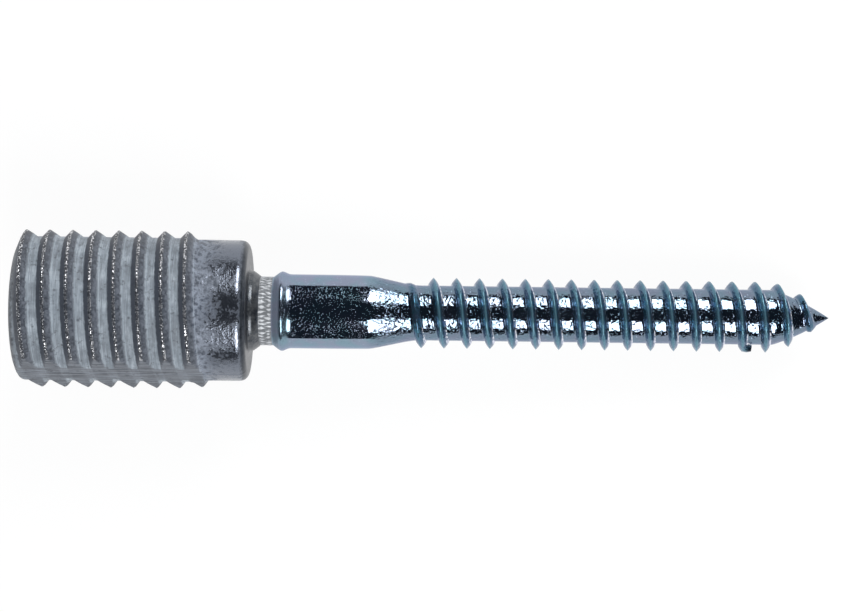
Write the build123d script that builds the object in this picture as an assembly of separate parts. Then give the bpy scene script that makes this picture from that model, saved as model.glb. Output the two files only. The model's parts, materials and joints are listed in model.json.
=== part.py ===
from build123d import *

import os
from itertools import pairwise
from math import atan2, ceil, cos, degrees, pi, sin

# Frame screw: a zinc head with a coarse outside thread, cast round the end of a steel wood screw.
#
# Millimetres and degrees. The screw is drawn along x, with x = 0 on the head's inner end face and the
# point towards +x, and is laid down as it rests at the very end. Angles about the axis start at +y and
# turn towards +z. The mould halves that cast the head meet at +z and -z.

# Both threads are right-handed and climb at one rate, so the head feeds through the frame exactly as
# fast as the screw feeds into the wall.
pitch = 2.5

# Cast head, which reaches from the inner end face back to the free end
head_length = 25.0
head_root_radius = 7.84  # under the thread
land_radius = 7.68  # of the plain land beside the inner end face
land_length = 4.15
thread_run_out = 5.1  # from the inner end face back to the last of the thread
head_corner = 0.8

# Head thread. Each mould half leans the ridge its own way, so that the half pulls off it.
head_ridge_height = 0.75
head_ridge_base = 1.86
head_ridge_crest = 0.3
near_half_lean = 0.6  # run of the flank towards the free end, on the +y half
far_half_lean = 1.1  # the same on the -y half
head_thread_setback = 0.2  # from the free end to the start of the thread
head_thread_end_angle = 158.0
head_thread_fade = 0.1  # turns over which the ridge rises and runs out
head_half_sweep = 0.48  # turns of ridge that each mould half carries
thread_end_chamfer = 0.7
parting_flat_depth = 0.13  # how far the relief along the parting line lies below the root

# Boss on the inner end face, where the zinc closes round the neck
boss_radius = 4.35
boss_length = 0.52
boss_cone_length = 0.62
boss_cone_radius = 3.85

# Hexagonal socket in the free end, for an 8 mm key
socket_across_flats = 8.0
socket_depth = 11.0
socket_mouth_chamfer = 0.5

# Steel spigot, held in the head by the zinc in its groove, and the neck that shows
neck_radius = 3.75
spigot_length = 11.0
spigot_chamfer = 0.4
groove_start = 5.0  # from the head's inner end face
groove_length = 1.6
groove_depth = 0.45

# Collar, shank and taper
neck_end = 2.6
collar_radius = 4.33
collar_rise = 0.8
collar_crest = 0.4
collar_fall = 0.8
shank_radius = 4.04
shank_end = 13.0
taper_end = 16.7
taper_end_radius = 3.25
root_start = 19.4
root_radius = 3.0
shank_blend = 6.0
taper_blend = 7.0

# Point
point_start = 56.5
point_end = 63.1
point_bulge = 0.1  # outward bow of the point's side, as a share of the root radius
tip_radius = 0.12

# Wood thread
wood_thread_start = 17.2
wood_thread_end = 62.3
wood_thread_start_angle = -100.0
wood_ridge_height = 0.9
wood_ridge_base = 1.02
wood_thread_rise = 0.65  # turns over which the ridge grows to its full height
wood_thread_fade = 1.0  # turns over which it dies out towards the point

# The angle about the axis that faces up where the screw lies
top_angle = 27.0

# How finely the helical edges are drawn, and how deep a ridge is sunk into what carries it
points_per_turn = 16
ridge_root_sink = 0.3

# How many straight steps stand for a round corner of the head, and for the bow of the point
corner_steps = 3
point_steps = 3

# The line that the steel follows from the shank to the point: (x, radius) at its corners
taper_outline = [
    (shank_end, shank_radius),
    (taper_end, taper_end_radius),
    (root_start, root_radius),
    (point_start, root_radius),
]


def revolved(sketch_face):
    """Turns a half section, drawn as (x, radius), about the axis."""
    return revolve(sketch_face, Axis.X)


def steel_radius(x):
    """Radius of the steel under the wood thread."""
    if x >= point_start:
        along = min(1.0, (x - point_start) / (point_end - point_start))
        return tip_radius + (root_radius - tip_radius) * (1 - along) * (1 + 4 * point_bulge * along)
    for (x0, r0), (x1, r1) in pairwise(taper_outline):
        if x <= x1:
            return r0 + (r1 - r0) * max(0.0, x - x0) / (x1 - x0)
    return root_radius


def smooth(share):
    """Eases a share from 0 to 1, flat at both ends."""
    share = min(1.0, max(0.0, share))
    return share * share * (3 - 2 * share)


def helical_edge(first_turn, last_turn, station):
    """Edge through the points (x, radius) that station gives for each turn."""
    steps = max(4, ceil((last_turn - first_turn) * points_per_turn))
    points = []
    for step in range(steps + 1):
        turn = first_turn + (last_turn - first_turn) * step / steps
        x, radius = station(turn)
        points.append(Vector(x, radius * cos(2 * pi * turn), radius * sin(2 * pi * turn)))
    return Edge.make_spline(points)


def helical_ridge(first_turn, last_turn, middle, root, share, ridge):
    """A ridge that climbs about the axis, with a flat crest, or a sharp one where the crest is 0 wide.

    middle, root and share give, for a turn, the x of the ridge's middle, the radius it stands on and how
    much of its full height it has there. Its flanks keep their slopes as it rises and runs out.
    """
    height, base, crest, back_run = ridge
    slopes = {-1: back_run / height, 1: (base - crest - back_run) / height}
    crest_middle = back_run + crest / 2 - base / 2

    def corner(side, above):
        """The corner of the crest on one side, or the foot of that flank below the surface it stands on."""

        def station(turn):
            rise = height * share(turn)
            down = 0 if above else rise + ridge_root_sink
            x = middle(turn) + crest_middle + side * (crest / 2 + slopes[side] * down)
            return x, root(turn) + rise - down

        return station

    top = [corner(-1, True), corner(1, True)] if crest else [corner(1, True)]
    corners = [corner(-1, False), *top, corner(1, False)]
    edges = [helical_edge(first_turn, last_turn, station) for station in corners]
    sides = [Face.make_surface_from_curves(a, b) for a, b in zip(edges, edges[1:] + edges[:1])]
    ends = [Face(Wire.make_polygon([edge @ end for edge in edges])) for end in (0, 1)]
    return Solid(Shell(sides + ends))


def head_thread_middle(turn):
    return -thread_run_out + pitch * (turn - head_thread_end_angle / 360)


def head_ridges():
    """The head's thread, half a turn at a time: one ridge for each mould half that it crosses."""
    last = head_thread_end_angle / 360
    first = last - (head_length - thread_run_out - head_thread_setback) / pitch

    def share(turn):
        return smooth((turn - first) / head_thread_fade) * smooth((last - turn) / head_thread_fade)

    ridges = []
    for half in range(round(2 * first), round(2 * last) + 1):
        start = max(first, (half - head_half_sweep) / 2)
        stop = min(last, (half + head_half_sweep) / 2)
        if stop <= start:
            continue
        lean = far_half_lean if half % 2 else near_half_lean
        section = (head_ridge_height, head_ridge_base, head_ridge_crest, lean)
        ridges.append(
            helical_ridge(start, stop, head_thread_middle, lambda turn: head_root_radius, share, section)
        )
    return ridges


def thread_envelope():
    """What the head's thread stays inside: it is chamfered where it meets the free end."""
    outside = head_root_radius + head_ridge_height + thread_end_chamfer
    inside = head_root_radius - head_corner
    corners = [
        (-head_length, 0),
        (-head_length, inside),
        (-head_length + outside - inside, outside),
        (0, outside),
        (0, 0),
    ]
    return revolved(make_face(Polyline(*corners, close=True)))


def socket():
    hexagon = RegularPolygon(socket_across_flats / 2, 6, major_radius=False)
    mouth_plane = Plane(origin=(-head_length, 0, 0), x_dir=(0, 1, 0), z_dir=(1, 0, 0))
    hole = extrude(mouth_plane * hexagon, socket_depth)
    corner_radius = socket_across_flats / 3**0.5
    mouth = Cone(corner_radius + socket_mouth_chamfer, corner_radius - socket_mouth_chamfer,
                 2 * socket_mouth_chamfer)
    return hole + mouth_plane * Pos(0, 0, socket_mouth_chamfer) * mouth


def round_corner(x, radius, side):
    """Points round the corner of an end face at x, from the outside to the face. The end is at side 1 or -1."""
    turns = [pi / 2 * step / corner_steps for step in range(corner_steps + 1)]
    return [
        (x - side * head_corner * (1 - sin(turn)), radius - head_corner * (1 - cos(turn))) for turn in turns
    ]


def head_blank():
    outline = [
        (-head_length, 0),
        *reversed(round_corner(-head_length, head_root_radius, -1)),
        (-land_length, head_root_radius),
        (-land_length + head_root_radius - land_radius, land_radius),
        *round_corner(0, land_radius, 1),
        (0, boss_radius),
        (boss_length, boss_radius),
        (boss_length + boss_cone_length, boss_cone_radius),
        (boss_length + boss_cone_length, 0),
    ]
    return revolved(make_face(Polyline(*outline, close=True)))


def parting_reliefs():
    """What is taken off the thread along the parting line, on both sides of the head."""
    outside = 2 * (head_root_radius + head_ridge_height)
    distance = head_root_radius - parting_flat_depth
    block = Box(2 * head_length, 2 * outside, outside)
    return [Pos(0, 0, side * (distance + outside / 2)) * block for side in (1, -1)]


def cast_head(steel):
    ridges = Part() + [ridge & thread_envelope() for ridge in head_ridges()]
    head = head_blank() + ridges
    for relief in parting_reliefs():
        head -= relief
    return head - socket() - steel


def steel_section():
    """Half section of the screw before its thread is rolled, from the end of the spigot to the point."""
    groove_radius = neck_radius - groove_depth
    groove_end = groove_start + groove_length
    collar_start = neck_end + collar_rise
    collar_stop = collar_start + collar_crest
    hidden = [
        (-spigot_length, 0),
        (-spigot_length, neck_radius - spigot_chamfer),
        (-spigot_length + spigot_chamfer, neck_radius),
        (-groove_end, neck_radius),
        (-groove_end + groove_depth, groove_radius),
        (-groove_start - groove_depth, groove_radius),
        (-groove_start, neck_radius),
        (neck_end, neck_radius),
    ]
    collar = [
        (neck_end, neck_radius),
        (collar_start, collar_radius),
        (collar_stop, collar_radius),
        (collar_stop + collar_fall, shank_radius),
    ]
    tapered = FilletPolyline(
        (collar_stop + collar_fall, shank_radius),
        *taper_outline,
        radius=[shank_blend, taper_blend, taper_blend],
    )
    step_length = (point_end - point_start) / point_steps
    stations = [point_start + step_length * step for step in range(point_steps + 1)]
    point = Polyline(*[(x, steel_radius(x)) for x in stations], (point_end, 0))
    section = Polyline(*hidden) + Polyline(*collar) + tapered + point
    section += Line((point_end, 0), (-spigot_length, 0))
    return make_face(section)


def wood_thread_turns():
    """The turns between which the wood thread runs."""
    first = wood_thread_start_angle / 360
    return first, first + (wood_thread_end - wood_thread_start) / pitch


def wood_thread_middle(turn):
    return wood_thread_start + pitch * (turn - wood_thread_start_angle / 360)


def wood_ridges():
    """The wood thread, a turn at a time."""
    first, last = wood_thread_turns()

    def root(turn):
        return steel_radius(wood_thread_middle(turn))

    def share(turn):
        return smooth((turn - first) / wood_thread_rise) * min(1.0, (last - turn) / wood_thread_fade)

    section = (wood_ridge_height, wood_ridge_base, 0, wood_ridge_base / 2)
    pieces = ceil(last - first)
    ends = [first + (last - first) * piece / pieces for piece in range(pieces + 1)]
    return [helical_ridge(a, b, wood_thread_middle, root, share, section) for a, b in pairwise(ends)]


def wood_screw():
    """The threaded screw. Its blank comes in two halves, so that no face wraps all the way round."""
    half = revolve(steel_section(), Axis.X, 180)
    return half + [Rot(180, 0, 0) * half, *wood_ridges()]


def crests_below(first, last, crest):
    """The points (x, radius) where a thread's crest passes straight below the axis at rest."""
    below = (top_angle + 180) / 360
    turns = range(ceil(first - below), ceil(last - below))
    return [crest(below + turn) for turn in turns]


def resting_tilt():
    """The dip of the axis at which a crest of the head and one of the wood thread touch the ground."""

    def head_crest(turn):
        return head_thread_middle(turn) + far_half_lean - head_ridge_base / 2, head_root_radius + head_ridge_height

    def wood_crest(turn):
        x = wood_thread_middle(turn)
        return x, steel_radius(x) + wood_ridge_height

    head_last = head_thread_end_angle / 360 - head_thread_fade
    heads = crests_below(head_last - 2, head_last, head_crest)
    first, last = wood_thread_turns()
    woods = crests_below(first + wood_thread_rise, last - wood_thread_fade, wood_crest)
    return min(max(degrees(atan2(r - r1, x1 - x)) for x, r in heads) for x1, r1 in woods)


def rest_place(solids):
    """The location that lays the solids down as they rest, on z = 0 about the middle of their box."""
    turn = Rot(0, resting_tilt(), 0) * Rot(90 - top_angle, 0, 0)
    box = Compound(children=[(turn * solid).solid() for solid in solids]).bounding_box()
    return Pos(-box.center().X, -box.center().Y, -box.min.Z) * turn


solids = {"cast_head": cast_head(revolved(steel_section())), "wood_screw": wood_screw()}
place = rest_place(solids.values())

os.makedirs("parts", exist_ok=True)
for name, solid in solids.items():
    export_step(place * solid, f"parts/{name}.step")
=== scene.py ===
import json
from math import atan2, cos, pi, radians, sin, sqrt, tan

import bpy
from mathutils import Matrix, Vector


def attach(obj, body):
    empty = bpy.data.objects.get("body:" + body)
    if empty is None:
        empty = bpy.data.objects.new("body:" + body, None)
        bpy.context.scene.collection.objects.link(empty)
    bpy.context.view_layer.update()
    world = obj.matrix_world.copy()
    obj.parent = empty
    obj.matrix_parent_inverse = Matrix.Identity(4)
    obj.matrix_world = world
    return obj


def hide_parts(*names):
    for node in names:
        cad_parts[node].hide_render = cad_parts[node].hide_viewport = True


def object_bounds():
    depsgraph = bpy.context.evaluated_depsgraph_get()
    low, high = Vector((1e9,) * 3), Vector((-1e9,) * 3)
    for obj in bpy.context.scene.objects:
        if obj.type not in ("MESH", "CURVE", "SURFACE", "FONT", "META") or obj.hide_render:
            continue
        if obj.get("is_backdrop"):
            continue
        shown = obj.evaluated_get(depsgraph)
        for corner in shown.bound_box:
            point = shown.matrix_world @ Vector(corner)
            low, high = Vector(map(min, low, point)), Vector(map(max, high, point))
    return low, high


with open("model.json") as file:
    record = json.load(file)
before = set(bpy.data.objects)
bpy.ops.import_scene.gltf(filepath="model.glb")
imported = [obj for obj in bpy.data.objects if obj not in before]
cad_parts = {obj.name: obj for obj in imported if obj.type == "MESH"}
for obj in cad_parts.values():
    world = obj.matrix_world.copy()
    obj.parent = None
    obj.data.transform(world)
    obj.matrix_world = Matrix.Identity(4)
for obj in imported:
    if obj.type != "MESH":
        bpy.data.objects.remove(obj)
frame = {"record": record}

cad_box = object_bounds()

# Frame screw: a cast zinc head with a coarse outside thread, on a bright plated steel wood screw.
#
# The sizes below are in millimetres, in the screw's own axes: x runs along it from the head's inner end
# face towards the point, angles start at +y and turn towards +z, and the mould halves met at +z and -z.

MM = 0.001
PITCH = 2.5  # of both threads, which are right-handed

# Cast head
HEAD_LENGTH = 25.0
HEAD_ROOT = 7.84
LAND_RADIUS = 7.68
LAND_STEP, LAND_STEP_RUN = 6.2, 0.16  # from the inner end face back to the step, and its own length
HEAD_CORNER, LAND_CORNER = 0.8, 0.95
END_CONE_SLOPE = 2.3  # of the cone that the thread is cut back to at the free end, radius by length
HEAD_RIDGE_HEIGHT = 0.75
HEAD_RIDGE_BASE = 1.86
HEAD_RIDGE_CREST = 0.2
NEAR_LEAN, FAR_LEAN = 0.65, 1.15  # run of the flank towards the free end, on each mould half
LEAN_CHANGE = radians(9)  # on each side of the parting line, where one lean turns into the other
HEAD_THREAD_END = -5.1
HEAD_THREAD_END_TURN = 158 / 360
HEAD_THREAD_SETBACK = 0.2  # from the free end to the start of the thread
HEAD_THREAD_FADE = 0.1  # turns over which the ridge rises and runs out
PARTING_DEPTH, PARTING_BLEND = 0.13, 0.03
FLASH_HEIGHT, FLASH_HALF_WIDTH = 0.05, radians(1.1)
CASTING_WAVES = 0.03  # how much the unevenness takes away at most
BROAD_WAVES, FINE_WAVES = 0.5, 2.0  # of them in a millimetre
BOSS_RADIUS, BOSS_LENGTH = 4.35, 0.52
BOSS_CONE_RADIUS, BOSS_CONE_LENGTH = 3.85, 0.62
SOCKET_ACROSS_FLATS, SOCKET_DEPTH, SOCKET_CHAMFER = 8.0, 11.0, 0.5
BORE_DEPTH, BORE_RADIUS = 11.0, 3.78

# Steel screw
NECK_RADIUS, NECK_END = 3.75, 2.6
KNURL_TEETH, KNURL_DEPTH, KNURL_MIDDLE = 48, 0.09, 0.6  # the middle is the share of the depth at the radius
KNURL_SLANT, KNURL_WANDER = 1.5, 1.6  # length in which a line crosses one tooth, and teeth that it strays
COLLAR_RADIUS, COLLAR_PEAK, COLLAR_END = 4.33, 3.55, 4.55
SHANK_RADIUS, SHANK_END = 4.04, 13.0
RIBBON_START = 16.0  # where the skin of the threaded stretch takes over
TAPER_END, TAPER_END_RADIUS = 16.7, 3.25
ROOT_RADIUS = 3.0
POINT_START, POINT_END, POINT_BULGE = 56.5, 63.1, 0.1
SHANK_BLEND, ROOT_BLEND, POINT_BLEND = 0.12, 0.3, 0.1  # how softly the stretches run into one another
POINT_SPREAD = 0.02  # slope that lifts the point's line clear of the stem, away from the point
WOOD_THREAD_START, WOOD_THREAD_END = 17.2, 62.3
WOOD_THREAD_START_TURN = -105 / 360
WOOD_RIDGE_HEIGHT, WOOD_RIDGE_BASE, WOOD_RIDGE_CREST = 0.85, 1.04, 0.15
WOOD_THREAD_RISE, WOOD_THREAD_FADE = 0.62, 1.0  # turns over which the ridge grows and dies out
TIP_FADE = 0.6  # length over which what is left of the ridge sinks into the tip
BURR_TURN, BURR_WIDTH, BURR_SPREAD = 14.32, 0.85, 0.06  # a torn spot on the wood thread's crest

MERGE_DISTANCE = 0.0002  # closer points of a skin's sheets become one

# How the screw lies: the frame gives its axis by the shank's mount, and it rests with this angle on top
TOP_ANGLE = 27.0
SHANK_MIDDLE = 8.3
shank = next(mount for mount in frame["record"]["mounts"] if mount["name"] == "shank")
tip_way = Vector(shank["axis"]).normalized()
origin = Vector(shank["pos_m"]) - tip_way * SHANK_MIDDLE * MM
tilt = atan2(-tip_way.z, tip_way.x)
side_way = Vector((0, 1, 0))
up_way = tip_way.cross(side_way)


def across_way(angle):
    """The direction, square to the axis, of an angle in degrees round the screw."""
    turn = radians(angle + 90 - TOP_ANGLE)
    return side_way * cos(turn) + up_way * sin(turn)


class Flow:
    """One output of a node. Python's operators on it add the Math nodes that work an expression out."""

    def __init__(self, graph, socket):
        self.graph = graph
        self.socket = socket

    def math(self, operation, *others):
        return self.graph.math(operation, self, *others)

    def output(self, name):
        """Another output of the same node."""
        return Flow(self.graph, self.socket.node.outputs[name])

    def __add__(self, other):
        return self.math("ADD", other)

    def __radd__(self, other):
        return self.math("ADD", other)

    def __sub__(self, other):
        return self.math("SUBTRACT", other)

    def __rsub__(self, other):
        return self.graph.math("SUBTRACT", other, self)

    def __mul__(self, other):
        return self.math("MULTIPLY", other)

    def __rmul__(self, other):
        return self.math("MULTIPLY", other)

    def __truediv__(self, other):
        return self.math("DIVIDE", other)

    def __rtruediv__(self, other):
        return self.graph.math("DIVIDE", other, self)

    def clamped(self):
        """The value, held between 0 and 1."""
        return self.math("MINIMUM", 1).math("MAXIMUM", 0)

    def eased(self):
        """The value held between 0 and 1, with both ends flat."""
        share = self.clamped()
        return share * share * (3 - 2 * share)

    def past(self, start, run):
        """How far the value is past start, as a share of run, held between 0 and 1."""
        return ((self - start) / run).clamped()

    def near(self, middle, reach):
        """1 where the value is at the middle, falling to 0 at reach on both sides of it."""
        return (1 - (self - middle).math("ABSOLUTE") / reach).clamped()


class Graph:
    """A node tree as it is built."""

    def __init__(self, tree):
        self.tree = tree

    def add(self, kind, settings=None, inputs=None, output=0):
        """Adds a node with its settings, feeds its input sockets and returns one output, if it has any."""
        node = self.tree.nodes.new(kind)
        for name, value in (settings or {}).items():
            setattr(node, name, value)
        for name, value in (inputs or {}).items():
            self.feed(node.inputs[name], value)
        return Flow(self, node.outputs[output]) if node.outputs else None

    def feed(self, socket, value):
        """Gives a socket its value, or links it to one or more flows."""
        values = value if isinstance(value, list) else [value]
        for item in values:
            if isinstance(item, Flow):
                self.tree.links.new(item.socket, socket)
            else:
                socket.default_value = item

    def math(self, operation, *values):
        return self.add("ShaderNodeMath", {"operation": operation}, dict(enumerate(values)))

    def sine(self, angle):
        return self.math("SINE", angle)

    def cosine(self, angle):
        return self.math("COSINE", angle)


# ---------------------------------------------------------------- the two skins, each made by a node tree


def input_sockets(tree, sizes):
    """Gives the tree a geometry input, one input for each named size, and a geometry output."""
    tree.interface.new_socket("Geometry", in_out="INPUT", socket_type="NodeSocketGeometry")
    sockets = {}
    for name, value in sizes.items():
        kind = "NodeSocketInt" if isinstance(value, int) else "NodeSocketFloat"
        sockets[name] = tree.interface.new_socket(name, in_out="INPUT", socket_type=kind)
    tree.interface.new_socket("Geometry", in_out="OUTPUT", socket_type="NodeSocketGeometry")
    return sockets


def profile_mesh(name, outline):
    """The half section as a chain of points (x, radius, kind), which a tree turns about the axis."""
    mesh = bpy.data.meshes.new(name)
    mesh.from_pydata([(x, radius, 0) for x, radius, kind in outline], [], [])
    kinds = mesh.attributes.new("kind", "FLOAT", "POINT")
    kinds.data.foreach_set("value", [float(kind) for x, radius, kind in outline])
    return mesh


# Shares of the stages of a ridge's section at which the skin has points
HEAD_PLAIN, HEAD_FLANK, HEAD_CREST = (0.5, 0.92, 1), (0.1, 0.4, 0.7, 0.92, 1), (0.3, 0.7)
WOOD_PLAIN, WOOD_FLANK, WOOD_CREST = (0.35, 0.7, 1), (0.2, 0.55, 0.88, 1), (0.5,)


def ridge_section(plain, flank, crest, rounding, bow):
    """Points across one pitch of a thread: (stage, height, kind).

    Stages 0 to 1 and 4 to 5 are the plain groove, 1 to 2 is the flank towards the head's free end, 2 to 3 the
    crest and 3 to 4 the other flank. Height goes from 0 to 1, rounding is how much of it the crest's edges
    lose, and a bow under 1 makes the flanks full.
    """
    rising = [(0, 0, 0)] + [(share, 0, 0) for share in plain]
    rising += [(1 + share, (1 - rounding) * share ** bow, 0) for share in flank]
    falling = [(5 - stage, height, kind) for stage, height, kind in reversed(rising)]
    return rising + [(2 + share, 1 - rounding * (2 * share - 1) ** 2, 0) for share in crest] + falling


class Skin:
    """What the two trees share: rings turned from an outline, and a ribbon that winds with the thread."""

    def __init__(self, name, sizes):
        self.tree = bpy.data.node_groups.new(name, "GeometryNodeTree")
        self.graph = Graph(self.tree)
        self.sockets = input_sockets(self.tree, sizes)
        self.sizes = sizes
        group_input = self.tree.nodes.new("NodeGroupInput")
        self.profile = Flow(self.graph, group_input.outputs["Geometry"])
        self.size = {name: Flow(self.graph, group_input.outputs[name]) for name in sizes}

    def noise(self, x, radius, angle, scale):
        """Noise from 0 to 1 at a place on the skin, with scale in features a millimetre."""
        inputs = {"Vector": self.place(x, radius, angle), "Scale": scale, "Detail": 2.0}
        return self.graph.add("ShaderNodeTexNoise", {}, inputs)

    def place(self, x, radius, angle):
        """The point at an x, a radius and an angle round the axis."""
        graph = self.graph
        axes = {"X": x, "Y": radius * graph.cosine(angle), "Z": radius * graph.sine(angle)}
        return graph.add("ShaderNodeCombineXYZ", {}, axes)

    def grid(self, across, along):
        """A flat grid whose rows run round the axis, and each point's row and place in its row."""
        graph = self.graph
        points = along + 1
        sheet = graph.add("GeometryNodeMeshGrid", {}, {"Vertices X": across, "Vertices Y": points})
        index = graph.add("GeometryNodeInputIndex")
        row = (index / points).math("FLOOR")
        return sheet, row, index - row * points

    def placed(self, sheet, x, radius, angle, masks):
        """Moves the sheet's points into place, and keeps each mask on them for the finish to read."""
        graph = self.graph
        for name, value in masks.items():
            settings = {"data_type": "FLOAT", "domain": "POINT"}
            sheet = graph.add("GeometryNodeStoreNamedAttribute", settings,
                              {"Geometry": sheet, "Name": name, "Value": value})
        return graph.add("GeometryNodeSetPosition", {},
                         {"Geometry": sheet, "Position": self.place(x, radius, angle)})

    def outline_point(self, number):
        """The x, the radius and the kind of a point of the outline."""
        graph = self.graph
        inputs = {"Geometry": self.profile, "Index": number, "Value": graph.add("GeometryNodeInputPosition")}
        point = graph.add("GeometryNodeSampleIndex", {"data_type": "FLOAT_VECTOR"}, inputs)
        kinds = graph.add("GeometryNodeInputNamedAttribute", {"data_type": "FLOAT"}, {"Name": "kind"})
        inputs = {"Geometry": self.profile, "Index": number, "Value": kinds}
        kind = graph.add("GeometryNodeSampleIndex", {"data_type": "FLOAT"}, inputs)
        x = graph.add("ShaderNodeSeparateXYZ", {}, {"Vector": point})
        return x, x.output("Y"), kind

    def rings(self, first, count, shape):
        """Some of the outline's points, turned about the axis.

        shape gives the radius and the masks from the x, radius and kind of a point and the angle.
        """
        sheet, row, step = self.grid(count, self.size["Around"])
        angle = step / self.size["Around"] * (2 * pi)
        x, radius, kind = self.outline_point(row + first)
        radius, masks = shape(x, radius, angle, kind)
        return self.placed(sheet, x, radius, angle, masks)

    def ribbon(self, first_x, last_x, end_x, end_turn, first, count, shape):
        """The threaded stretch: a ribbon one pitch wide that winds from first_x to last_x.

        Its middle passes end_x at end_turn. Across it lie count points of the outline, from number first on.
        shape gives the runs of the ridge's five stages, and a function that gives the radius and the masks at
        an x.
        """
        around = self.size["Around"]
        first_turn = end_turn + (first_x - end_x) / PITCH - 0.5
        start = ((around * first_turn).math("CEIL") - 1) / around
        steps = (around * ((last_x - first_x) / PITCH + 1)).math("CEIL") + 2
        sheet, step, place = self.grid(count, steps)
        stage, height, kind = self.outline_point(step + first)
        turn = place / around + start
        angle = turn * (2 * pi)
        runs, outside = shape(stage, height, turn, angle)
        x = (turn - end_turn) * PITCH + (end_x - PITCH / 2)
        for number, run in enumerate(runs):
            x = x + run * (stage - number).clamped()
        x = x.math("MAXIMUM", first_x).math("MINIMUM", last_x)
        radius, masks = outside(x)
        return self.placed(sheet, x, radius, angle, masks)

    def finish(self, sheets, material):
        """Joins the sheets, closes their seams and poles, and lays the smooth piece down in the frame."""
        graph = self.graph
        joined = graph.add("GeometryNodeJoinGeometry", {}, {"Geometry": sheets})
        seams = {"Geometry": joined, "Distance": MERGE_DISTANCE}
        closed = graph.add("GeometryNodeMergeByDistance", {}, seams)
        outward = graph.add("GeometryNodeFlipFaces", {}, {"Mesh": closed})
        laid = graph.add("GeometryNodeTransform", {}, {
            "Geometry": outward,
            "Translation": origin,
            "Rotation": (radians(90 - TOP_ANGLE), tilt, 0),
            "Scale": (MM, MM, MM),
        })
        smooth = graph.add("GeometryNodeSetShadeSmooth", {}, {"Geometry": laid})
        real = graph.add("GeometryNodeRealizeInstances", {}, {"Geometry": smooth})
        done = graph.add("GeometryNodeSetMaterial", {}, {"Geometry": real, "Material": material})
        group_output = self.tree.nodes.new("NodeGroupOutput")
        self.tree.links.new(done.socket, group_output.inputs["Geometry"])

    def piece(self, name, outline, node):
        """Runs the tree on the outline and returns the mesh, riding on the body in place of a CAD node."""
        carrier = bpy.data.objects.new(name + "_outline", profile_mesh(name + "_outline", outline))
        bpy.context.scene.collection.objects.link(carrier)
        modifier = carrier.modifiers.new(name, "NODES")
        modifier.node_group = self.tree
        for label, socket in self.sockets.items():
            modifier[socket.identifier] = self.sizes[label]
        evaluated = carrier.evaluated_get(bpy.context.evaluated_depsgraph_get())
        mesh = bpy.data.meshes.new_from_object(evaluated)
        mesh.name = name
        carrier.modifiers.remove(modifier)
        bpy.data.objects.remove(carrier)
        piece = bpy.data.objects.new(name, mesh)
        bpy.context.scene.collection.objects.link(piece)
        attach(piece, "root")
        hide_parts(node)
        return piece


# ---------------------------------------------------------------- cast head


def corner_outline(x, radius, corner, steps=7):
    """Points round the corner of the end face at x, from the outside onto the face."""
    turns = [pi / 2 * step / steps for step in range(steps + 1)]
    return [(x - corner * (1 - sin(turn)), radius - corner * (1 - cos(turn)), 0) for turn in turns]


def between(start, end, steps):
    """Points evenly spaced from start to end, without start itself."""
    return [tuple(a + (b - a) * step / steps for a, b in zip(start, end)) for step in range(1, steps + 1)]


HEXAGON = 1  # kind of an outline point whose ring is a hexagon, with its radius as a share of the hexagon's


def free_end_outline():
    """From the middle of the socket's floor to the rim where the threaded stretch starts."""
    corner_radius = SOCKET_ACROSS_FLATS / sqrt(3)
    floor_x = -HEAD_LENGTH + SOCKET_DEPTH
    outline = [(floor_x, 0, HEXAGON)]
    outline += between((floor_x, 0, HEXAGON), (floor_x, 1, HEXAGON), 2)
    outline += between((floor_x, 1, HEXAGON), (-HEAD_LENGTH + SOCKET_CHAMFER, 1, HEXAGON), 6)
    mouth = (-HEAD_LENGTH, corner_radius + SOCKET_CHAMFER, 0)
    return outline + [mouth] + between(mouth, (-HEAD_LENGTH, HEAD_ROOT - HEAD_CORNER, 0), 4)


def inner_end_outline():
    """From the end of the land, over the boss round the neck and down into the bore."""
    outline = corner_outline(0, LAND_RADIUS, LAND_CORNER)
    outline += between((0, LAND_RADIUS - LAND_CORNER, 0), (0, BOSS_RADIUS + 0.25, 0), 4)
    outline += [(0.05, BOSS_RADIUS + 0.08, 0), (0.22, BOSS_RADIUS, 0)]
    outline += [(BOSS_LENGTH - 0.08, BOSS_RADIUS - 0.01, 0), (BOSS_LENGTH, BOSS_RADIUS - 0.05, 0)]
    cone_end = (BOSS_LENGTH + BOSS_CONE_LENGTH, BOSS_CONE_RADIUS, 0)
    outline += between(outline[-1], cone_end, 4)
    outline += [(cone_end[0] + 0.03, BORE_RADIUS, 0)]
    outline += between(outline[-1], (-BORE_DEPTH, BORE_RADIUS, 0), 4)
    return outline + between(outline[-1], (-BORE_DEPTH, 0, 0), 2)


def head_core(x):
    """Radius of the head without its thread."""
    into = x.past(-HEAD_LENGTH + HEAD_CORNER, -HEAD_CORNER)
    corner = (1 - (1 - into * into).math("MAXIMUM", 0).math("SQRT")) * HEAD_CORNER
    step = ((x + LAND_STEP) / LAND_STEP_RUN + 0.5).eased() * (HEAD_ROOT - LAND_RADIUS)
    return HEAD_ROOT - corner - step


def as_cast(skin, x, radius, angle):
    """The outside as the mould leaves it: relieved and with a flash line where its halves met, and uneven.

    Returns the radius and the share of the relief. The waves only take away, and they leave the socket, the
    boss and the bore alone.
    """
    graph = skin.graph
    outside = radius.past(LAND_RADIUS - LAND_CORNER - 0.5, 0.5)
    across = graph.sine(angle).math("ABSOLUTE").math("MAXIMUM", 0.2)
    flat = (HEAD_ROOT - PARTING_DEPTH) / across
    relief = ((radius - flat) / PARTING_BLEND + 0.5).clamped()
    cut = graph.math("SMOOTH_MIN", radius, flat, PARTING_BLEND)
    flash = graph.cosine(angle).near(0, FLASH_HALF_WIDTH) * FLASH_HEIGHT
    waves = skin.noise(x, radius, angle, BROAD_WAVES) * 0.65 + skin.noise(x, radius, angle, FINE_WAVES) * 0.35
    return radius + outside * (cut + flash - waves * skin.size["Waves"] - radius), relief * outside


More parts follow.
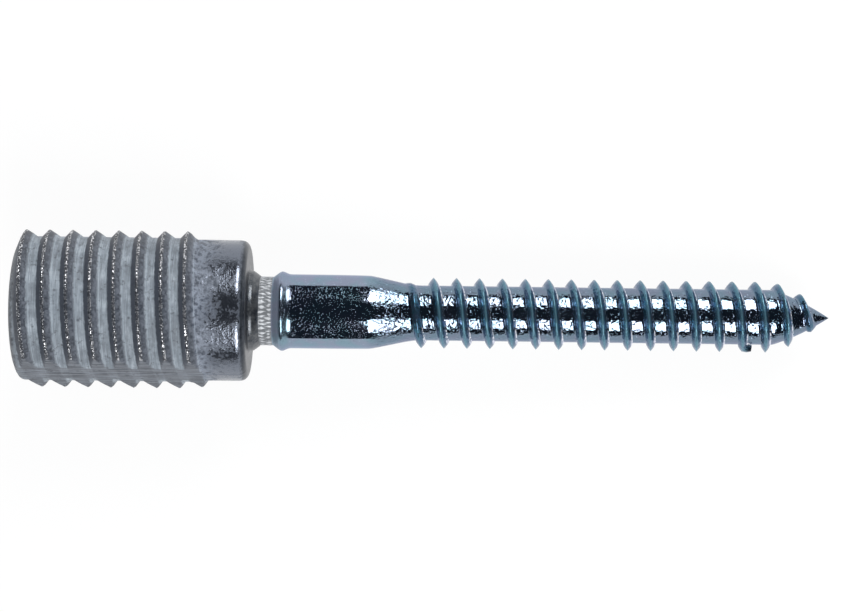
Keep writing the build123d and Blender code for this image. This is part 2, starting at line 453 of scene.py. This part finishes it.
def cast_head(material):
    free_end, inner_end = free_end_outline(), inner_end_outline()
    section = ridge_section(HEAD_PLAIN, HEAD_FLANK, HEAD_CREST, rounding=0.09, bow=1.0)
    sizes = {
        "Around": 360,
        "Free End Rings": len(free_end),
        "Inner End Rings": len(inner_end),
        "Ridge Points": len(section),
        "Ridge Height": HEAD_RIDGE_HEIGHT,
        "Ridge Base": HEAD_RIDGE_BASE,
        "Ridge Crest": HEAD_RIDGE_CREST,
        "Waves": CASTING_WAVES,
    }
    skin = Skin("cast_head_skin", sizes)
    graph = skin.graph
    size = skin.size

    def turned(x, radius, angle, kind):
        sector = (angle / (pi / 3)).math("FRACT") * (pi / 3) - pi / 6
        hexagon = radius * (SOCKET_ACROSS_FLATS / 2) / graph.cosine(sector)
        cast, relief = as_cast(skin, x, radius, angle)
        masks = {"crest": 0.0, "fore": 0.0, "aft": 0.0, "relief": relief}
        return cast + kind * (hexagon - cast), masks

    first = HEAD_THREAD_END_TURN - (HEAD_LENGTH + HEAD_THREAD_END - HEAD_THREAD_SETBACK) / PITCH

    def threaded(stage, height, turn, angle):
        near_half = (graph.cosine(angle) / sin(LEAN_CHANGE) * 0.5 + 0.5).eased()
        aft_run = FAR_LEAN + near_half * (NEAR_LEAN - FAR_LEAN)
        fore_run = size["Ridge Base"] - size["Ridge Crest"] - aft_run
        plain = (PITCH - size["Ridge Base"]) / 2
        begun = ((turn - first) / HEAD_THREAD_FADE).eased()
        ridge = height * begun * ((HEAD_THREAD_END_TURN - turn) / HEAD_THREAD_FADE).eased()
        ahead = (stage - 2).clamped()

        def outside(x):
            outer = head_core(x) + ridge * size["Ridge Height"]
            end_cone = (x + HEAD_LENGTH) * END_CONE_SLOPE + (HEAD_ROOT - HEAD_CORNER)
            radius, relief = as_cast(skin, x, outer.math("MINIMUM", end_cone), angle)
            masks = {"crest": ridge, "fore": ridge * ahead, "aft": ridge * (1 - ahead), "relief": relief}
            return radius, masks

        return [plain, aft_run, size["Ridge Crest"], fore_run, plain], outside

    free_rings = skin.rings(0, size["Free End Rings"], turned)
    inner_rings = skin.rings(size["Free End Rings"], size["Inner End Rings"], turned)
    section_start = size["Free End Rings"] + size["Inner End Rings"]
    threaded_ribbon = skin.ribbon(-HEAD_LENGTH, -LAND_CORNER, HEAD_THREAD_END, HEAD_THREAD_END_TURN,
                                  section_start, size["Ridge Points"], threaded)
    skin.finish([free_rings, threaded_ribbon, inner_rings], material)
    return skin.piece("cast_head_skin", free_end + inner_end + section, "cast_head")


# ---------------------------------------------------------------- steel wood screw

KNURLED, CORE = 1, 2  # kinds of outline points: a knurled ring, and one that has the threaded stretch's core


def shank_outline():
    """From the end of the spigot, in the head, to where the threaded stretch's skin takes over."""
    outline = [(-BORE_DEPTH + 0.02, 0, 0), (-BORE_DEPTH + 0.02, NECK_RADIUS - 0.5, 0)]
    outline += [(-BORE_DEPTH + 0.5, NECK_RADIUS - 0.02, 0)]
    outline += between(outline[-1], (0.7, NECK_RADIUS - 0.02, 0), 4)
    outline += [(0.9, NECK_RADIUS, KNURLED)]
    outline += between(outline[-1], (NECK_END - 0.08, NECK_RADIUS, KNURLED), 20)
    foot = NECK_RADIUS - 0.03
    outline += [(NECK_END, foot, 0)]
    outline += between(outline[-1], (COLLAR_PEAK - 0.25, COLLAR_RADIUS - 0.09, 0), 4)
    outline += [(COLLAR_PEAK - 0.08, COLLAR_RADIUS - 0.015, 0), (COLLAR_PEAK + 0.05, COLLAR_RADIUS, 0)]
    for step in range(1, 11):
        share = step / 10
        fall = (1 + cos(pi * share ** 0.8)) / 2
        outline.append((COLLAR_PEAK + 0.05 + (COLLAR_END - COLLAR_PEAK - 0.05) * share,
                        SHANK_RADIUS + (COLLAR_RADIUS - SHANK_RADIUS) * fall, 0))
    outline += between((COLLAR_END, 0, CORE), (SHANK_END - 1, 0, CORE), 10)
    return outline + between((SHANK_END - 1, 0, CORE), (RIBBON_START, 0, CORE), 14)


def steel_core(graph, x):
    """Radius of the steel under the wood thread, from the shank to the point."""
    slope = (SHANK_RADIUS - TAPER_END_RADIUS) / (TAPER_END - SHANK_END)
    taper = SHANK_RADIUS - (x - SHANK_END) * slope
    stem = graph.math("SMOOTH_MIN", SHANK_RADIUS, taper, SHANK_BLEND)
    stem = graph.math("SMOOTH_MAX", ROOT_RADIUS, stem, ROOT_BLEND)
    along = x.past(POINT_START, POINT_END - POINT_START)
    point = (1 - along) * (along * (4 * POINT_BULGE) + 1) * ROOT_RADIUS + (POINT_END - x) * POINT_SPREAD
    return graph.math("SMOOTH_MIN", stem, point, POINT_BLEND).math("MAXIMUM", 0)


def wood_screw(material):
    outline = shank_outline()
    section = ridge_section(WOOD_PLAIN, WOOD_FLANK, WOOD_CREST, rounding=0.1, bow=0.62)
    sizes = {
        "Around": 240,
        "Shank Rings": len(outline),
        "Ridge Points": len(section),
        "Knurl Teeth": KNURL_TEETH,
        "Knurl Depth": KNURL_DEPTH,
        "Ridge Height": WOOD_RIDGE_HEIGHT,
        "Ridge Base": WOOD_RIDGE_BASE,
        "Ridge Crest": WOOD_RIDGE_CREST,
    }
    skin = Skin("wood_screw_skin", sizes)
    graph = skin.graph
    size = skin.size

    def turned(x, radius, angle, kind):
        knurled = kind.near(KNURLED, 1)
        uneven = (skin.noise(x, radius, angle, 0.9) - 0.5) * KNURL_WANDER
        teeth = angle / (2 * pi) * size["Knurl Teeth"] + uneven * knurled
        one_way = (teeth + x / KNURL_SLANT).math("PINGPONG", 0.5)
        other_way = (teeth - x / KNURL_SLANT).math("PINGPONG", 0.5)
        diamonds = one_way.math("MINIMUM", other_way) * 2
        plain = radius + (kind - KNURLED).clamped() * (steel_core(graph, x) - radius)
        masks = {"ridge": 0.0, "foot": 0.0, "knurl": knurled, "tooth": knurled * diamonds, "burr": 0.0}
        return plain + knurled * (diamonds - KNURL_MIDDLE) * size["Knurl Depth"], masks

    first = WOOD_THREAD_START_TURN
    last = first + (WOOD_THREAD_END - WOOD_THREAD_START) / PITCH

    def threaded(stage, height, turn, angle):
        torn = (2 - (turn - BURR_TURN).math("ABSOLUTE") * (2 / BURR_SPREAD)).clamped()
        burr = torn * BURR_WIDTH
        flank_run = (size["Ridge Base"] - size["Ridge Crest"]) / 2
        plain = (PITCH - size["Ridge Base"]) / 2
        share = turn.past(first, WOOD_THREAD_RISE) * turn.past(last, -WOOD_THREAD_FADE)
        masks = {
            "ridge": height * share,
            "foot": (1.3 - (stage - 3.9).math("ABSOLUTE") * 3.2).clamped() * share,
            "knurl": 0.0,
            "tooth": 0.0,
            "burr": torn * height * (stage - 2.2).clamped(),
        }

        def outside(x):
            ridge = masks["ridge"] * size["Ridge Height"] * x.past(POINT_END, -TIP_FADE)
            return steel_core(graph, x) + ridge, masks

        # The burr widens the crest, and what follows in the section makes room for it
        runs = [plain, flank_run, size["Ridge Crest"] + burr, flank_run - burr * 0.4, plain - burr * 0.6]
        return runs, outside

    shank_rings = skin.rings(0, size["Shank Rings"], turned)
    threaded_ribbon = skin.ribbon(RIBBON_START, POINT_END, WOOD_THREAD_START, WOOD_THREAD_START_TURN,
                                  size["Shank Rings"], size["Ridge Points"], threaded)
    skin.finish([shank_rings, threaded_ribbon], material)
    return skin.piece("wood_screw_skin", outline + section, "wood_screw")


# ---------------------------------------------------------------- finishes


def finish_graph(name):
    """A new material and the graph of its nodes, which is still empty."""
    material = bpy.data.materials.new(name)
    material.use_nodes = True
    material.node_tree.nodes.clear()
    return material, Graph(material.node_tree)


def surface(graph, inputs):
    """Ends a material's graph with a principled shader."""
    shader = graph.add("ShaderNodeBsdfPrincipled", {}, inputs)
    graph.add("ShaderNodeOutputMaterial", {}, {"Surface": shader})


def object_place(graph):
    """The place on the piece, in metres."""
    return graph.add("ShaderNodeTexCoord", output="Object")


def mask(graph, name):
    """A mask that the skin's tree left on the piece."""
    return graph.add("ShaderNodeAttribute", {"attribute_name": name}, {}, "Fac")


def colour(red, green, blue):
    return red, green, blue, 1


def mix(graph, share, first, second):
    """The colour between two colours."""
    inputs = {"Factor": share, 6: first, 7: second}  # 6 and 7 are the two colour sockets
    return graph.add("ShaderNodeMix", {"data_type": "RGBA"}, inputs, 2)


def painted(graph, ground, *coats):
    """A ground colour under coats, each a share and a colour, laid on in turn."""
    for share, tone in coats:
        ground = mix(graph, share, ground, tone)
    return ground


def along_axis(graph, place, way):
    """How far a place lies from the origin of the screw along one of its ways, in millimetres."""
    off = graph.add("ShaderNodeVectorMath", {"operation": "SUBTRACT"}, {0: place, 1: origin})
    dot = graph.add("ShaderNodeVectorMath", {"operation": "DOT_PRODUCT"}, {0: off, 1: way}, "Value")
    return dot / MM


def own_place(graph, along=1.0, around=1.0):
    """The place on the piece in the screw's own axes, in millimetres, drawn out along or round its axis."""
    place = object_place(graph)
    axes = {
        "X": along_axis(graph, place, tip_way) * (1 / along),
        "Y": along_axis(graph, place, side_way) * (1 / around),
        "Z": along_axis(graph, place, up_way) * (1 / around),
    }
    return graph.add("ShaderNodeCombineXYZ", {}, axes)


def grain(graph, place, size, detail, roughness):
    """Noise from 0 to 1 whose features are about size millimetres."""
    inputs = {"Vector": place, "Scale": 1 / size, "Detail": detail, "Roughness": roughness}
    return graph.add("ShaderNodeTexNoise", {}, inputs)


def spread(share, contrast):
    """A share with its contrast raised about a half, held between 0 and 1."""
    return ((share - 0.5) * contrast + 0.5).clamped()


def pits(graph, place, size, share):
    """Spots up to size millimetres across, from 0 to 1, in about a share of the cells of a grid."""
    cell = size * 2.2
    distance = graph.add("ShaderNodeTexVoronoi", {}, {"Vector": place, "Scale": 1 / cell})
    luck = graph.add("ShaderNodeSeparateColor", {}, {"Color": distance.output("Color")})
    return distance.near(0, 0.24) * luck.past(share, -1 / 8)


def zinc_finish():
    """Die-cast zinc: pale dull grooves, darker flanks, glints on the crests, a land rubbed to a gloss. The
    flanks that face the free end carry painted shade, and the crests a painted dark reflection between the
    glints.
    """
    material, graph = finish_graph("cast_zinc")
    place = own_place(graph)
    x = along_axis(graph, object_place(graph), tip_way)
    crest, relief = mask(graph, "crest"), mask(graph, "relief")
    fore, aft = mask(graph, "fore"), mask(graph, "aft")
    clouds = grain(graph, place, 2.6, 4, 0.6)
    mottle = grain(graph, place, 0.55, 3, 0.65)
    smudges = grain(graph, own_place(graph, 0.8, 1.6), 1.3, 5, 0.7)
    fine = grain(graph, place, 0.16, 2, 0.6)
    drawn = grain(graph, own_place(graph, 0.12, 3.5), 1.0, 3, 0.6)  # fine lines round the head
    filed = grain(graph, own_place(graph, 4.0, 0.12), 1.0, 3, 0.6)  # fine lines along it

    # Where everything lies, from 0 to 1
    threaded = x.past(-LAND_STEP + 0.3, -0.4)
    boss = x.past(0.02, 0.1)
    rim = x.past(-0.75, 0.4)
    free_end = x.past(-HEAD_LENGTH + 0.9, -0.5)
    worn = crest.past(0.8, 0.1) * (1 - relief)
    end = x.past(-5.6, 3.6) * (1 - rim)
    rubbed = (end * 1.5 + (mottle - 0.5) * 3.6 + (clouds - 0.5) * 1.8 - 0.5) * 1.2
    rubbed = rubbed.clamped() * (1 - threaded) * (1 - relief) * (1 - boss)
    # Where this share is high, the worn crest is painted near black, a painted dark reflection of the room;
    # elsewhere the crest is bright burnished metal
    painted_dark_crest = spread(grain(graph, place, 0.2, 1, 0.5) + 0.05, 10)
    glints = worn * (1 - painted_dark_crest)
    gloss = glints.math("MAXIMUM", rubbed)
    spots = pits(graph, place, 0.4, 0.35) * (1 - gloss)
    dirt = spread(grain(graph, place, 0.9, 5, 0.75) - 0.11, 12) * 0.65 * (1 - gloss)

    # Colours, and the coats they are laid on in
    patchy = spread(mottle, 4)
    groove = painted(
        graph,
        mix(graph, spread(clouds, 3), colour(0.20, 0.235, 0.27), colour(0.37, 0.42, 0.47)),
        (spread(drawn, 6) * 0.62, colour(0.13, 0.155, 0.18)),
        (spread(smudges, 7) * 0.45, colour(0.09, 0.105, 0.125)),
    )
    land = mix(graph, patchy, colour(0.05, 0.062, 0.085), colour(0.24, 0.275, 0.335))
    flank = mix(graph, patchy, colour(0.029, 0.036, 0.05), colour(0.112, 0.127, 0.155))
    flank = mix(graph, fore.past(0.55, 0.4) * 0.8, flank, colour(0.028, 0.034, 0.046))
    filed_flat = mix(graph, spread(filed, 8), colour(0.05, 0.057, 0.07), colour(0.17, 0.19, 0.22))
    end_face = mix(graph, patchy, colour(0.08, 0.09, 0.105), colour(0.20, 0.22, 0.245))
    dark_rim = mix(graph, spread(mottle, 3), colour(0.026, 0.032, 0.042), colour(0.065, 0.074, 0.088))
    rough_boss = mix(graph, patchy, colour(0.06, 0.068, 0.08), colour(0.135, 0.142, 0.15))
    ragged = (mottle - 0.5) * 0.5
    base = painted(
        graph,
        land,
        (threaded, groove),
        ((fore + ragged).past(0.26, 0.14), flank),
        (fore.near(0.17, 0.06) * 0.45, colour(0.38, 0.43, 0.48)),
        # painted shade: the flanks that face the free end, away from the lamps, are painted dark
        ((aft + ragged).past(0.06, 0.12), colour(0.06, 0.07, 0.09)),
        (relief * 0.85, filed_flat),
        (rubbed, colour(0.18, 0.20, 0.24)),
        (free_end, end_face),
        (rim, dark_rim),
        (glints, colour(0.78, 0.79, 0.82)),
        # painted dark reflection on the worn crests, between the glints
        (worn * painted_dark_crest, colour(0.02, 0.024, 0.032)),
        (boss, rough_boss),
        (spots.math("MAXIMUM", dirt), colour(0.04, 0.046, 0.058)),
    )

    # Gloss and texture
    metallic = (gloss * 0.95).math("MAXIMUM", rim * 0.8).math("MAXIMUM", boss * 0.4)
    roughness = 0.55 + (mottle - 0.5) * 0.3 - gloss * 0.36 - rim * 0.22
    height = fine * 0.35 + mottle * (0.3 + gloss * 0.5) + drawn * 0.25 - spots * 1.2 + worn * painted_dark_crest * 0.5
    bump = graph.add("ShaderNodeBump", {}, {"Strength": 0.7, "Distance": 0.05 * MM, "Height": height})
    surface(graph, {"Base Color": base, "Metallic": metallic, "Roughness": roughness, "Normal": bump})
    return material


def steel_finish():
    """Steel under bright plating: lavender to teal, with an orange-peel skin, a pale rough knurl and a
    painted highlight along the feet of the thread's flanks.
    """
    material, graph = finish_graph("plated_steel")
    place = own_place(graph)
    ridge, foot, burr = mask(graph, "ridge"), mask(graph, "foot"), mask(graph, "burr")
    knurl, tooth = mask(graph, "knurl"), mask(graph, "tooth")
    peel = grain(graph, place, 0.12, 1, 0.5)
    torn = grain(graph, place, 0.36, 1, 0.5)
    coarse = grain(graph, place, 0.8, 3, 0.6)
    tint = grain(graph, place, 2.2, 2, 0.5)
    strokes = grain(graph, own_place(graph, 0.9, 0.3), 1.0, 1, 0.5)
    x = along_axis(graph, object_place(graph), tip_way)

    # Where everything lies, from 0 to 1
    core = x.past(SHANK_END - 0.3, 1.5)  # the rolled stretch, rougher than the shank
    collar = x.past(COLLAR_END + 0.2, -0.5) * (1 - knurl)
    rise = x.past(COLLAR_PEAK - 0.05, -0.25) * (1 - knurl)
    taper = x.near((SHANK_END + TAPER_END) / 2, 2.1)
    plated = ridge.past(0, 1 / 3)
    tip = ridge.past(0.62, 1 / 3)
    # painted highlight: a whiter, mirror-bright streak along the foot of each flank, broken by noise, where
    # the lamps' highlight runs
    bright = foot.past(0.55, 1 / 5) * spread(grain(graph, place, 0.35, 2, 0.6) + 0.04, 9)
    lit = spread(tooth + (strokes - 0.5) * 1.6, 2.5)

    # Colours, and the coats they are laid on in
    tinted = spread(tint, 4)
    smooth = mix(graph, tinted, colour(0.27, 0.305, 0.40), colour(0.22, 0.33, 0.40))
    rolled = mix(graph, tinted, colour(0.195, 0.235, 0.31), colour(0.165, 0.245, 0.31))
    teal = mix(graph, spread(coarse, 3), colour(0.035, 0.13, 0.19), colour(0.10, 0.155, 0.245))
    pale = mix(graph, lit, colour(0.17, 0.18, 0.19), colour(0.58, 0.60, 0.62))
    base = painted(
        graph,
        smooth,
        (core, rolled),
        (plated, teal),
        (tip * 0.75, colour(0.13, 0.28, 0.35)),
        # painted highlight along the flank feet
        (bright, colour(0.85, 0.86, 0.93)),
        (knurl, pale),
        (burr.past(0, 0.5), colour(0.02, 0.03, 0.045)),
    )

    # Gloss and texture
    metallic = 1 - knurl * 0.8 - plated * (1 - bright) * 0.14 - tip * 0.2 - rise * 0.45
    roughness = 0.06 + knurl * 0.4 + plated * 0.1 + collar * 0.16 + rise * 0.2 + taper * 0.05
    crisp = peel.past(0.65, 1 / 3.2)
    tooled = grain(graph, own_place(graph, 0.14, 3.5), 1.0, 2, 0.5) * x.past(COLLAR_END + 0.35, -0.6)
    upset = grain(graph, own_place(graph, 1.0, 0.45), 0.5, 2, 0.5) * taper
    pitted = (torn * 1.5 - pits(graph, place, 0.24, 0.85) * 2.0) * core
    height = crisp + coarse * 0.3 + tooled * 0.5 + upset * 2.2 + pitted
    bump = graph.add("ShaderNodeBump", {}, {"Strength": 0.8, "Distance": 0.04 * MM, "Height": height})
    surface(graph, {"Base Color": base, "Metallic": metallic, "Roughness": roughness, "Normal": bump,
                    "Specular Tint": colour(0.78, 0.8, 0.9)})
    return material


# ---------------------------------------------------------------- studio


def ray_is(graph, *kinds):
    """1 for a ray of any of these kinds, and 0 for any other."""
    path = graph.add("ShaderNodeLightPath")
    found = path.output(kinds[0])
    for kind in kinds[1:]:
        found = found.math("MAXIMUM", path.output(kind))
    return found


# The floor, the lamps and the camera's distance are in metres
FLOOR_HALF = 1.5
FLOOR_GLOW = 0.91  # share of plain white in the floor where it is seen


def floor():
    """A pale floor that shows white and keeps the screw's shadow."""
    mesh = bpy.data.meshes.new("studio_floor")
    corners = [(x * FLOOR_HALF, y * FLOOR_HALF, 0) for x, y in ((-1, -1), (1, -1), (1, 1), (-1, 1))]
    mesh.from_pydata(corners, [], [(0, 1, 2, 3)])
    piece = bpy.data.objects.new("studio_floor", mesh)
    bpy.context.scene.collection.objects.link(piece)
    material, graph = finish_graph("studio_white")
    matt = graph.add("ShaderNodeBsdfDiffuse", {}, {"Color": colour(0.95, 0.95, 0.95)})
    white = graph.add("ShaderNodeEmission", {}, {"Color": colour(1, 1, 1), "Strength": 1.0})
    seen = ray_is(graph, "Is Camera Ray", "Is Glossy Ray", "Is Transmission Ray")
    shader = graph.add("ShaderNodeMixShader", {}, {"Fac": seen * FLOOR_GLOW, 1: matt, 2: white})
    graph.add("ShaderNodeOutputMaterial", {}, {"Surface": shader})
    mesh.materials.append(material)
    piece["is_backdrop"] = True


LAMP_DISTANCE = 0.6
LAMP_WIDTH = radians(36)  # as seen from the screw
LAMP_START, LAMP_END = 0.045, 0.3  # along x, past the screw's point


def softbox(name, degrees, power):
    """A soft rectangular lamp over one side of the screw, leaning off the vertical to face the axis."""
    light = bpy.data.lights.new(name, "AREA")
    light.shape = "RECTANGLE"
    light.size = LAMP_END - LAMP_START
    light.size_y = 2 * LAMP_DISTANCE * tan(LAMP_WIDTH / 2)
    light.energy = power
    lamp = bpy.data.objects.new(name, light)
    bpy.context.scene.collection.objects.link(lamp)
    lean = radians(degrees)
    lamp.location = ((LAMP_START + LAMP_END) / 2, LAMP_DISTANCE * sin(lean), LAMP_DISTANCE * cos(lean))
    lamp.rotation_euler = (-lean, 0, 0)


def surroundings():
    """Even light from all round, in a room that is dim in the metal and white past the floor's edge."""
    world = bpy.data.worlds.new("studio")
    bpy.context.scene.world = world
    world.use_nodes = True
    world.node_tree.nodes.clear()
    graph = Graph(world.node_tree)

    def glow(red, green, blue):
        return graph.add("ShaderNodeBackground", {}, {"Color": colour(red, green, blue), "Strength": 1.0})

    shader = glow(0.022, 0.027, 0.036)
    for kind, seen in (("Is Diffuse Ray", glow(0.45, 0.46, 0.48)), ("Is Camera Ray", glow(1, 1, 1))):
        shader = graph.add("ShaderNodeMixShader", {}, {"Fac": ray_is(graph, kind), 1: shader, 2: seen})
    graph.add("ShaderNodeOutputWorld", {}, {"Surface": shader})


# The camera looks square onto the axis, nearly from above, with the axis dropping a little to the right
CAMERA_ANGLE = 25.0  # round the screw
CAMERA_DISTANCE = 0.236
CAMERA_LENS = 91.7
CAMERA_TARGET = 19.1  # along the axis, in millimetres
CAMERA_RISE = 0.76  # of the middle of the view above the axis, in millimetres
CAMERA_ROLL = radians(0.74)


def camera():
    data = bpy.data.cameras.new("camera")
    data.lens = CAMERA_LENS
    data.sensor_width = 36
    data.clip_start = 0.01
    eye = bpy.data.objects.new("camera", data)
    bpy.context.scene.collection.objects.link(eye)
    upper = across_way(CAMERA_ANGLE - 90)
    right = tip_way * cos(CAMERA_ROLL) + upper * sin(CAMERA_ROLL)
    up = upper * cos(CAMERA_ROLL) - tip_way * sin(CAMERA_ROLL)
    back = right.cross(up)
    target = origin + tip_way * CAMERA_TARGET * MM + up * CAMERA_RISE * MM
    turn = Matrix((right, up, back)).transposed().to_4x4()
    eye.matrix_world = Matrix.Translation(target + back * CAMERA_DISTANCE) @ turn
    bpy.context.scene.camera = eye


bpy.context.scene.view_settings.view_transform = "Standard"
head = cast_head(zinc_finish())
screw = wood_screw(steel_finish())
floor()
softbox("softbox_left", 56, 3.0)
softbox("softbox_right", -44, 3.0)
surroundings()
camera()

size_boxes = {"cad": cad_box, "visual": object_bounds()}
size_boxes = {name: [list(corner) for corner in box] for name, box in size_boxes.items()}
